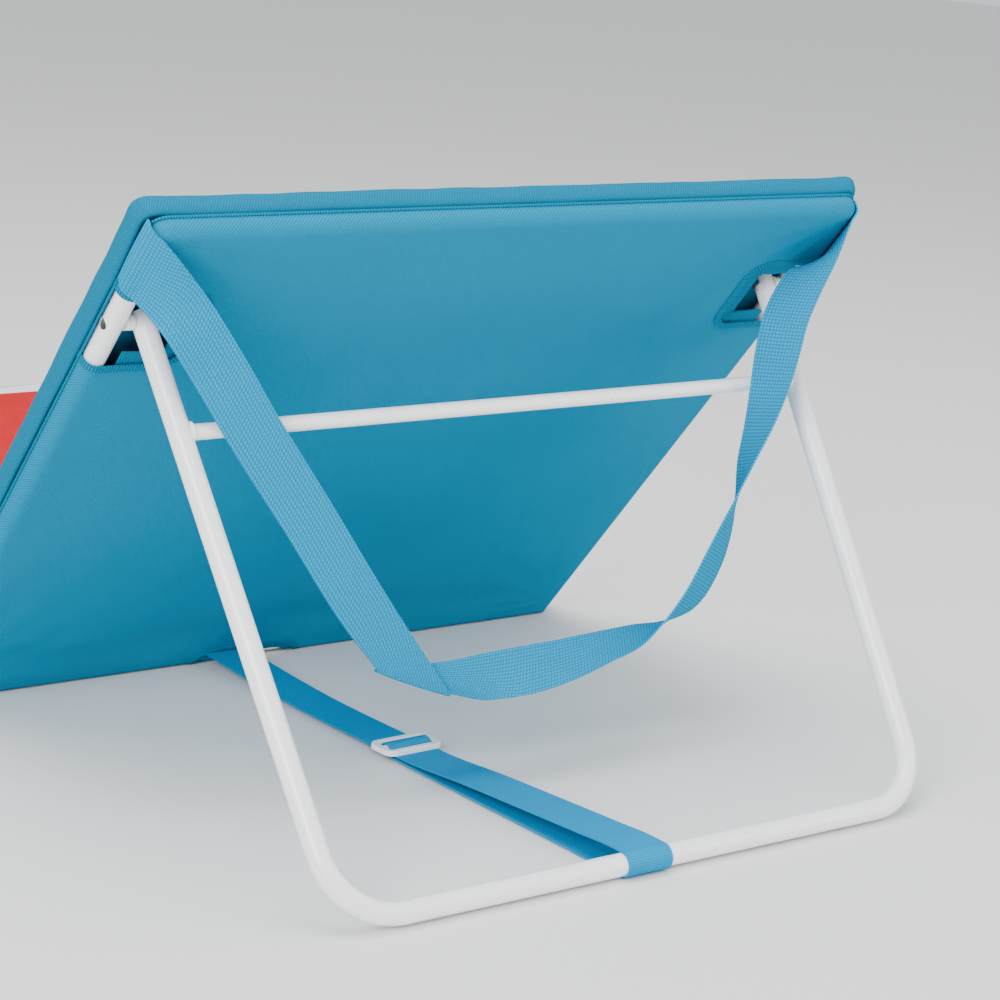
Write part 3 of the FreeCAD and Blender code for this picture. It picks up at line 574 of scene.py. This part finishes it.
def ribbon(name, path, start, end, lift):
    """A tape along the rear cloth's edge: path holds (across, up, outward across, outward up)."""
    columns = 5
    vertices, uvs = [], []
    run = 0.0
    for index, (across, up, out_x, out_up) in enumerate(path):
        if index:
            run += math.hypot(across - path[index - 1][0], up - path[index - 1][1]) * MM
        for column in range(columns):
            reach = start + (end - start) * column / (columns - 1)
            place = rear_point(across + out_x * reach, up + out_up * reach)
            pucker = ripple(across, up, 9, 9, reach / 14 + 2, 0.7)
            vertices.append(place - FRONT * (lift + pucker * abs(reach) / 10) * MM)
            uvs.append((run, reach * MM))
    thing = make(name, vertices, grid_faces(len(path), columns), uvs, "tape")
    thicken(thing, TAPE)
    sharpen(thing, 60)
    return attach(thing, "backrest")


def corner_path(cx, cy, radius, start, end):
    """Points round a corner with their outward directions."""
    steps = 8
    path = []
    for step in range(steps + 1):
        angle = math.radians(start + (end - start) * step / steps)
        path.append((cx + radius * math.cos(angle), cy + radius * math.sin(angle),
                     math.cos(angle), math.sin(angle)))
    return path


def pivot_trim():
    """Hems of the openings at the pivots, in separate pieces for the channel's part and the middle's
    part.
    """
    end = SIDE + ROLL * math.pi / 2 + 6
    inner_end = LANE + 0.1
    corner = CUT_IN + CUT_ROUND
    for side, word in ((1, "left"), (-1, "right")):
        low = [(x, CUT_LOW, 0, -1) for x in marks([end, LANE, corner], HEM_STEP)]
        low += corner_path(corner, CUT_LOW + CUT_ROUND, CUT_ROUND, 270, 180)
        high = corner_path(corner, CUT_HIGH - CUT_ROUND, CUT_ROUND, 180, 90)
        high += [(x, CUT_HIGH, 0, 1) for x in marks([corner, LANE, end], HEM_STEP)]
        outline = [(side * x, up, side * dx, dy) for x, up, dx, dy in low + high]
        inner = [point for point in outline if abs(point[0]) < inner_end]
        count = next(i for i, point in enumerate(outline) if abs(point[0]) < inner_end)
        face = ribbon("pivot_hem_" + word, inner, *HEM)
        flap = ribbon("pivot_flap_" + word, inner, *FLAP)
        for piece in (face, flap):
            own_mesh(piece)
        ribbon("tube_hem_low_" + word, outline[:count + 1], *HEM)
        ribbon("tube_hem_high_" + word, outline[-count - 1:], *HEM)
        if side == 1:
            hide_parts("pivot_cutout_hems")


def bottom_trim():
    """Hem of the arched opening at the bottom bar, with its turned-in flap."""
    foot, spring = -18, ARCH_TOP - ARCH_ROUND
    arch = [(ARCH_LOW, up, -1, 0) for up in marks([foot, spring], HEM_STEP)]
    arch += corner_path(ARCH_LOW + ARCH_ROUND, spring, ARCH_ROUND, 180, 90)
    arch += corner_path(ARCH_HIGH - ARCH_ROUND, spring, ARCH_ROUND, 90, 0)
    arch += [(ARCH_HIGH, up, 1, 0) for up in marks([spring, foot], HEM_STEP)]
    face = ribbon("bottom_hem", arch, *ARCH_HEM)
    ribbon("bottom_flap", arch[4:-4], *ARCH_FLAP)
    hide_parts("bottom_cutout_hem")


def seam_piping():
    """Piping in the seam between rear cloth and pad, up one side, over the top and down."""
    step, corner_steps, start_up, radius = 8, 9, 2, 1.1
    half = SIDE + ROLL + 0.5
    top = TOP + ROLL + 0.5
    rise = marks([start_up, top - CORNER], step)
    path = [(-half, up) for up in rise]
    for start, cx in ((180, -half + CORNER), (90, half - CORNER)):
        for turn in range(1, corner_steps):
            angle = math.radians(start - 90 * turn / corner_steps)
            path.append((cx + CORNER * math.cos(angle), top - CORNER + CORNER * math.sin(angle)))
        if start == 180:
            path += [(x, top) for x in marks([-half + CORNER, half - CORNER], step)]
    path += [(half, up) for up in rise[::-1]]
    tube = round_cord("seam_piping", [panel(x, up, SEAM - 0.4) for x, up in path], radius, "tape")
    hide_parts("rear_seam_piping")
    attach(tube, "backrest")


def round_cord(name, points, radius, look):
    """A round cord through points that lie close together."""
    sides = 8
    vertices, uvs = [], []
    run = 0.0
    side = FRONT
    for index, place in enumerate(points):
        if index:
            run += (place - points[index - 1]).length
        following = points[min(index + 1, len(points) - 1)]
        before = points[max(index - 1, 0)]
        along = (following - before).normalized()
        over = along.cross(side).normalized()
        for step in range(sides + 1):
            angle = 2 * math.pi * step / sides
            vertices.append(place + (side * math.cos(angle) + over * math.sin(angle)) * radius * MM)
            uvs.append((run, angle * radius * MM))
    return make(name, vertices, grid_faces(len(points), sides + 1), uvs, look)


# ---------------------------------------------------------------- padded panels
def over_rim(place, half, radius):
    """Distance from the middle over the cloth, whose edge is a quarter round, for a place across."""
    depth = half - abs(place)
    if depth >= radius:
        return place
    return math.copysign(half - radius + radius * math.asin(1 - depth / radius), place)


def pad_shell(name, half, start, end, thickness, place, lip):
    """A stuffed panel: two cloths sewn round their edge; place maps (x, up, height) to the frame."""
    inset, flat_from = [0, 0.3, 1.2, 2.6, 4.4, 7, 11, 17], 26
    step = 13
    radius = thickness / 2
    length = end - start
    centre = (start + end) / 2
    rim_width, waver_height, lip_from, lip_width = 20, 2.2, 11, 5
    across = [-half + d for d in inset] + marks([-half + flat_from, half - flat_from], step)
    across += [half - d for d in inset[::-1]]
    along = [start + d for d in inset] + marks([start + flat_from, end - flat_from], step)
    along += [end - d for d in inset[::-1]]
    vertices, uvs, index_of = [], [], {}
    for side in (1, -1):
        for j, up in enumerate(along):
            for i, x in enumerate(across):
                rim = i in (0, len(across) - 1) or j in (0, len(along) - 1)
                if side == -1 and rim:
                    index_of[(side, i, j)] = index_of[(1, i, j)]
                    continue
                depth = min(half - abs(x), up - start, end - up)
                back = min(half - abs(x), end - up)
                swell = math.sqrt(max(0.0, 1 - (1 - min(depth / radius, 1)) ** 2))
                px, py = rounded_corner(x, abs(up - centre), half, length / 2, CORNER)
                py = centre + math.copysign(py, up - centre)
                waver = math.exp(-depth / 9) * ripple(x, up, 34, 34, side * 0.4) * waver_height
                if half - abs(x) < rim_width:
                    px += math.copysign(waver, px)
                if length / 2 - abs(up - centre) < rim_width:
                    py += math.copysign(waver, up - centre)
                height = side * swell * radius
                if side == -1:
                    height -= lip * swell * max(0.0, min(1.0, (lip_from - back) / lip_width))
                index_of[(side, i, j)] = len(vertices)
                vertices.append(place(px, py, height))
                uvs.append((over_rim(x, half, radius) * MM,
                            over_rim(up - centre, length / 2, radius) * MM))
    faces = []
    for side in (1, -1):
        for j in range(len(along) - 1):
            for i in range(len(across) - 1):
                face = [index_of[(side, i, j)], index_of[(side, i + 1, j)],
                        index_of[(side, i + 1, j + 1)], index_of[(side, i, j + 1)]]
                faces.append(face if side == 1 else face[::-1])
    thing = make(name, vertices, faces, uvs, "pad")
    stuff(thing)
    return thing


def stuff(thing):
    """Blows the pad up with the cloth solver and keeps every point near its place."""
    steps, farthest = 12, 2 * MM
    rest = [vertex.co.copy() for vertex in thing.data.vertices]
    blown = thing.modifiers.new("stuffing", "CLOTH")
    blown.settings.use_pressure = True
    blown.settings.uniform_pressure_force = 4.0
    blown.settings.quality = 4
    blown.settings.tension_stiffness = 30
    blown.settings.compression_stiffness = 30
    blown.settings.bending_stiffness = 4
    blown.settings.shrink_min = -0.01
    blown.settings.effector_weights.gravity = 0.0
    scene = bpy.context.scene
    for number in range(1, steps + 1):
        scene.frame_set(number)
    seen = thing.evaluated_get(bpy.context.evaluated_depsgraph_get())
    moved = [vertex.co.copy() for vertex in seen.data.vertices]
    thing.modifiers.clear()
    scene.frame_set(1)
    for vertex, old, new in zip(thing.data.vertices, rest, moved):
        move = new - old
        if move.length > farthest:
            move = move.normalized() * farthest
        vertex.co = old + move


def printed_side(thing, material, direction):
    """Gives the sitter's side of a pad its print, up to the rolled edge."""
    level = 0.95
    thing.data.materials.append(material)
    for face in thing.data.polygons:
        if face.normal.dot(direction) > level:
            face.material_index = 1


def smooth_pad(thing):
    """Rounds the pad's facets with one subdivision."""
    fine = thing.modifiers.new("smooth", "SUBSURF")
    fine.levels = fine.render_levels = 1
    apply_modifiers(thing)


def on_backrest(x, up, height):
    """A point of the backrest pad, by its height over the pad's middle plane."""
    return panel(x, up, BACK_MIDDLE + height)


def on_mat(x, y, height):
    """A point of a pad of the mat, by its height over the pad's middle plane."""
    return Vector((x, y, MAT_MIDDLE + height)) * MM


def pads():
    """The three stuffed panels; the foot panel's print has its border at the far end too."""
    above = Vector((0, 0, 1))
    seat = (SEAT_LOW.y / MM, SEAT_HIGH.y / MM)
    foot = (FOOT_LOW.y / MM, FOOT_HIGH.y / MM)
    parts = [
        ("backrest", "backrest", (PAD_LOW, PAD_HIGH), BACK_PAD, LIP, on_backrest, FRONT, False),
        ("seat_panel", "seat", seat, MAT_PAD, 0, on_mat, above, False),
        ("foot_panel", "foot", foot, MAT_PAD, 0, on_mat, above, True),
    ]
    for body, prefix, (start, end), thickness, lip, place, direction, far_border in parts:
        name = prefix + "_pad"
        thing = pad_shell(name, PAD_HALF, start, end, thickness, place, lip)
        half_length = (end - start) / 2 * MM
        look = printed_cloth(name + "_print", PAD_HALF * MM, half_length, far_border)
        printed_side(thing, look, direction)
        smooth_pad(thing)
        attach(thing, body)
        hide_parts(prefix + "_back_cloth", prefix + "_foam", prefix + "_printed_cover",
                    prefix + "_edge_binding")


def fold_strips():
    """Tapes across the two folding edges."""
    top, half_tape, gap, lift = 13.5, 12, 1, 0.5
    rows = [Vector((0, MAT_FOLD.y + d * MM, top * MM))
            for d in marks([-half_tape, half_tape], FOLD_STEP)]
    strip = flat_strip("mat_fold_tape", rows)
    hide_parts("mat_fold_strip")
    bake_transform(strip)
    rows = [FOLD_LINE + Vector((0, d * MM, lift * MM)) for d in marks([-half_tape, -gap], FOLD_STEP)]
    rows += [FOLD_LINE + UP * d * MM + FRONT * lift * MM for d in marks([gap, half_tape], FOLD_STEP)]
    strip = flat_strip("backrest_fold_tape", rows)
    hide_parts("backrest_hinge_strip")
    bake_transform(strip)


def flat_strip(name, rows):
    """A tape as wide as the mat through the given places in its middle plane."""
    half, step = 306, 9
    vertices, uvs = [], []
    columns = marks([-half, half], step)
    for row, place in enumerate(rows):
        for x in columns:
            vertices.append(place + ACROSS * x * MM)
            uvs.append((row * FOLD_STEP * MM, x * MM))
    thing = make(name, vertices, grid_faces(len(rows), len(columns)), uvs, "tape")
    thicken(thing, FOLD_TAPE)
    sharpen(thing, 60)
    return thing


# ---------------------------------------------------------------- webbing
# Middle of the strap (across, behind the bottom bar, above the ground) and which way its width runs.
CARRY_LEFT = [
    ((279, 345, 368), (-0.80, 0.22, 0.56)),
    ((251, 346, 329), (-0.81, 0.20, 0.55)),
    ((222, 347, 285), (-0.81, 0.18, 0.56)),
    ((179, 349, 224), (-0.83, 0.12, 0.55)),
    ((128, 352, 150), (-0.84, 0.06, 0.54)),
]
FOLD_NEAR, FOLD_FAR = (117, 352, 105), (52, 352, 78)      # ends of the oblique crease
AFTER_FOLD = (67, 348, 103), (22, 354, 71)                # both edges just past it
CARRY_RIGHT = [
    ((-8, 350, 87), (-0.12, 0.68, -0.72)),
    ((-58, 350, 91), (0.12, 0.86, -0.50)),
    ((-91, 350, 96), (0.34, 0.89, -0.31)),
    ((-123, 350, 101), (0.50, 0.86, -0.12)),
    ((-146, 350, 108), (0.62, 0.74, 0.24)),
    ((-171, 350, 123), (0.64, 0.50, 0.58)),
    ((-191, 351, 153), (0.77, 0.42, 0.48)),
    ((-200, 352, 177), (0.76, 0.54, 0.36)),
    ((-206, 354, 203), (0.62, 0.74, 0.26)),
    ((-211, 356, 230), (0.35, 0.90, 0.26)),
    ((-219, 358, 258), (0.06, 0.95, 0.31)),
    ((-226, 358, 286), (-0.18, 0.94, 0.26)),
    ((-233, 355, 311), (-0.34, 0.93, 0.13)),
    ((-243, 350, 337), (-0.40, 0.92, 0.06)),
    ((-257, 346, 358), (-0.42, 0.90, 0.10)),
    ((-272, 343, 375), (-0.36, 0.90, 0.24)),
]
# Sewn ends over the side seams (from the side edge, above the bottom bar, in front of the tubes).
NEAR_LOW = [(0, 490, 3), (0, 486, -4), (-8, 482, -11)]
NEAR_HIGH = [(0, 546, 3), (0, 545, -4), (-8, 540, -11.5)]
FAR_LOW = [(-8, 476, -11), (0, 480, -4), (0, 482, 3)]
FAR_HIGH = [(-8, 534, -12), (0, 538, -4), (0, 540, 3)]


def sewn_end(side, points):
    """One edge of the strap's end over a side seam; side is 1 or -1."""
    edge = SIDE + ROLL + 1
    return [panel(side * (edge + x), up, front) for x, up, front in points]


def oblique_crease(near, far):
    """Half a turn of both edges round the strap's crease."""
    radius = 1.3
    inward = (far - near).normalized().cross(Vector((0, 1, 0)))
    inward *= 1 if inward.z > 0 else -1
    crease = []
    for degrees in range(0, 181, 30):
        angle = math.radians(degrees)
        shift = inward * radius * (1 - math.sin(angle)) * MM
        shift += Vector((0, radius * math.cos(angle) * MM, 0))
        crease.append((near + shift, far + shift))
    return crease


def carry_strap():
    """The hanging strap: sewn into both side seams, with an oblique fold at its lowest turn."""
    half = HALF_WEB * MM
    steps = 8
    runs = []
    for stations in (CARRY_LEFT, CARRY_RIGHT):
        left, right = [], []
        for place, wide in stations:
            reach = Vector(wide).normalized() * half
            left.append(behind(*place) - reach)
            right.append(behind(*place) + reach)
        runs.append((left, right))
    (fall_left, fall_right), (rise_left, rise_right) = runs
    fall_left[:0] = sewn_end(1, NEAR_LOW)
    fall_right[:0] = sewn_end(1, NEAR_HIGH)
    rise_left += sewn_end(-1, FAR_LOW)
    rise_right += sewn_end(-1, FAR_HIGH)
    crease = oblique_crease(behind(*FOLD_NEAR), behind(*FOLD_FAR))
    fall_left.append(crease[0][0])
    fall_right.append(crease[0][1])
    rise_left[:0] = [crease[-1][0], behind(*AFTER_FOLD[0])]
    rise_right[:0] = [crease[-1][1], behind(*AFTER_FOLD[1])]
    left_curve = curve_through(fall_left, steps) + [pair[0] for pair in crease[1:-1]]
    right_curve = curve_through(fall_right, steps) + [pair[1] for pair in crease[1:-1]]
    left_curve += curve_through(rise_left, steps)
    right_curve += curve_through(rise_right, steps)
    strap = band("carry_strap_web", left_curve, right_curve, "carry", WEB, cup=0.8)
    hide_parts("carry_strap")
    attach(strap, "backrest")


def stay_route(points):
    """Edges of the stay webbing through (distance behind the bottom bar, height)."""
    steps = 6
    start = Vector((STAY_HIGH * MM, BAR.y))
    end = Vector((GROUND_BAR.x, GROUND_BAR.y))
    line = (end - start).normalized()
    wide = Vector((line.y, -line.x, 0)) * HALF_WEB * MM
    left, right = [], []
    for y, z in points:
        share = y * MM / (GROUND_BAR.y - BAR.y)
        middle = Vector((start.x + (end.x - start.x) * share, BAR.y + y * MM, z * MM))
        left.append(middle - wide)
        right.append(middle + wide)
    return curve_through(left, steps), curve_through(right, steps)


def stay_strap():
    """The stay: one ply from the bottom bar through the slider, two plies on to the ground bar."""
    slider = (SLIDER.y - BAR.y) / MM
    foot = (GROUND_BAR.y - BAR.y) / MM
    under, over = 4.6, 10.6
    single = [(10.4, 10.5), (40, 8.6), (80, 6.2), (118, 4.5), (slider - 30, 4.3),
              (slider - 10, under + 0.1), (slider - 6.2, 7.6), (slider - 2.8, over),
              (slider + 2.8, over), (slider + 6.2, 7.6), (slider + 9.4, under + 0.1)]
    upper = [(slider + 10, under + 0.2), (slider + 30, under + 0.6), (slider + 90, 9.6),
             (foot - 100, 14.0), (foot - 45, 16.8), (foot - 16, 18.3), (foot - 1.1, 18.02)]
    lower = [(slider, 2.6), (slider + 30, 2.3), (foot - 150, 1.8), (foot - 60, 1.5),
             (foot - 20, 1.7), (foot - 7.6, 4.9)]
    for name, node, route in (("stay_single", "stay_single_ply", single),
                              ("stay_upper", "stay_upper_ply", upper),
                              ("stay_lower", "stay_lower_ply", lower)):
        left, right = stay_route(route)
        strap = band(name, left, right, "stay", STAY_WEB)
        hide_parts(node)
        if name == "stay_single":
            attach(strap, "backrest")
        else:
            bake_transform(strap)
    bar_turn("stay_bottom_loop", "stay_bottom_bar_loop", BAR + ACROSS * STAY_HIGH * MM, 28, 332,
             "backrest")
    wrap_outside = 9.3 * MM
    ground_bar = Vector((GROUND_BAR.x, WRAP_HIGH.y - wrap_outside, WRAP_HIGH.z - wrap_outside))
    bar_turn("stay_ground_wrap", "stay_ground_bar_wrap", ground_bar, 97, -150, "stand")


def bar_turn(name, node, centre, first, last, body):
    """Webbing that goes round a bar from one angle to another, in degrees."""
    steps, radius = 28, 8.72
    left, right = [], []
    for step in range(steps + 1):
        angle = math.radians(first + (last - first) * step / steps)
        out = Vector((0, math.cos(angle), math.sin(angle))) * radius * MM
        left.append(centre + out - ACROSS * HALF_WEB * MM)
        right.append(centre + out + ACROSS * HALF_WEB * MM)
    turn = band(name, left, right, "stay", TURN_WEB)
    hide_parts(node)
    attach(turn, body)


# ---------------------------------------------------------------- hard parts
def hard_parts():
    """Gives the CAD's hard pieces their materials."""
    looks = {
        "paint": ["backrest_frame_tube", "backrest_bottom_bar", "stand_tube", "stand_cross_bar",
                  "cross_bar_welds"],
        "plastic": ["frame_tube_plugs", "stand_leg_caps", "pivot_spacers", "strap_slider"],
        "rivet": ["pivot_rivets"],
    }
    for look, nodes in looks.items():
        for node in nodes:
            thing = frame["nodes"][node]
            thing.data.materials.clear()
            thing.data.materials.append(LOOKS[look])


# ---------------------------------------------------------------- floor, light and camera
LAMPS = [    # name, place, side in metres, power in watts
    ("key", (3.2, 2.6, 2.2), 2.0, 175),
    ("fill", (-2.2, 3.0, 1.2), 2.4, 45),
    ("top", (0.3, 0.4, 3.2), 2.5, 90),
]
LIT = Vector((0, 0.45, 0.2))    # where the lamps point


def ground():
    """A plain pale floor, just under the feet."""
    half, below = 9, 0.0005
    shader = Shader("pale_floor")
    shader.finish(Base_Color=rgb(0.80, 0.79, 0.77), Roughness=0.9)
    corners = [(-half, -half, 0), (half, -half, 0), (half, half, 0), (-half, half, 0)]
    floor = make("floor", corners, [(0, 1, 2, 3)])
    floor.location.z = -below
    floor.data.materials.append(shader.material)


def studio_light():
    """Soft light from all round and from three large lamps."""
    world = bpy.data.worlds.new("studio")
    world.use_nodes = True
    world.node_tree.nodes["Background"].inputs["Color"].default_value = rgb(0.93, 0.96, 1.0)
    world.node_tree.nodes["Background"].inputs["Strength"].default_value = 0.9
    bpy.context.scene.world = world
    for name, place, size, power in LAMPS:
        light = bpy.data.lights.new(name, "AREA")
        light.size = size
        light.energy = power
        lamp = bpy.data.objects.new(name, light)
        lamp.location = place
        aim = LIT - lamp.location
        lamp.rotation_euler = aim.to_track_quat("-Z", "Y").to_euler()
        bpy.context.collection.objects.link(lamp)


def camera():
    """The view from behind and a little above, with a slight tilt."""
    eye = Vector((1.1239, BAR.y + 1.8209, 0.6803))
    yaw, pitch, tilt = math.radians(36.974), math.radians(14.051), math.radians(3.9095)
    ahead = Vector((-math.sin(yaw) * math.cos(pitch), -math.cos(yaw) * math.cos(pitch),
                    -math.sin(pitch)))
    level = ahead.cross(Vector((0, 0, 1))).normalized()
    over = level.cross(ahead)
    side = level * math.cos(tilt) + over * math.sin(tilt)
    top = over * math.cos(tilt) - level * math.sin(tilt)
    data = bpy.data.cameras.new("camera")
    data.sensor_width = 36
    data.lens = 95.61
    thing = bpy.data.objects.new("camera", data)
    turn = Matrix((side, top, -ahead)).transposed().to_4x4()
    thing.matrix_world = Matrix.Translation(eye) @ turn
    bpy.context.collection.objects.link(thing)
    bpy.context.scene.camera = thing


hard_parts()
rear_cloth()
pivot_trim()
bottom_trim()
seam_piping()
pads()
fold_strips()
carry_strap()
stay_strap()
ground()
studio_light()
camera()
